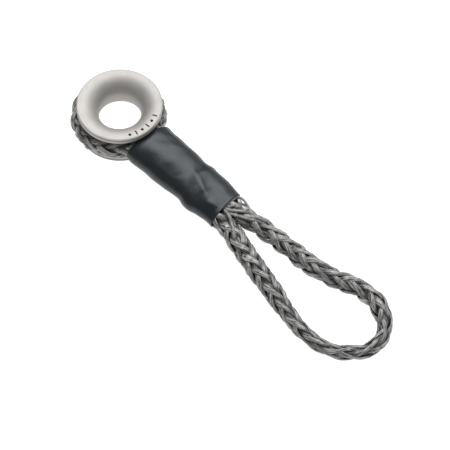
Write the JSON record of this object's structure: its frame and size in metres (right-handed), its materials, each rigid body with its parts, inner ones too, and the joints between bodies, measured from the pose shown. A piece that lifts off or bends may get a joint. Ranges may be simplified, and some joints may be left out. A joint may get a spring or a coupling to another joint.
{
  "type": "thimble eye",
  "caption": "Grooved low-friction ring held in the eye of a spliced rope strop with a heat-shrink sleeve and a soft loop.",
  "frame": {"origin": "centre of the ring's bore, half way through the ring", "axes": "+Z along the bore axis, +X along the strop from the ring to the soft loop"},
  "size_m": [0.1352, 0.0312, 0.0124],
  "materials": {
    "ring": "bead-blasted and anodised, satin",
    "rope": "coated twelve-strand braid, waxy sheen",
    "tail": "coated twelve-strand braid, drawn down",
    "twine": "waxed whipping twine",
    "adhesive": "set hot-melt adhesive",
    "jacket": "heat-shrink polyolefin, satin"
  },
  "bodies": {
    "strop": {"rope_turn": "rope", "rope_leg_a": "rope", "rope_leg_b": "rope", "tail_a_in_eye": "tail", "tail_b_in_eye": "tail", "throat_seizing": "twine", "frapping_turn": "twine", "lock_stitching": "twine", "mouth_seizing": "twine", "adhesive_liner": "adhesive", "shrink_jacket": "jacket"},
    "thimble": {"thimble_ring": "ring"},
    "loop": {"rope_loop": "rope", "tail_a_in_loop": "tail", "tail_b_in_loop": "tail"}
  },
  "joints": [
    {"name": "thimble_turn", "type": "hinge", "parent": "strop", "child": "thimble", "pos_m": [0, 0, 0], "axis": [0, 0, 1], "continuous": true},
    {"name": "loop_bend", "type": "hinge", "parent": "strop", "child": "loop", "pos_m": [0.05405, 0, -0.00236], "axis": [0, -1, 0], "range_deg": [0, 75]}
  ]
}
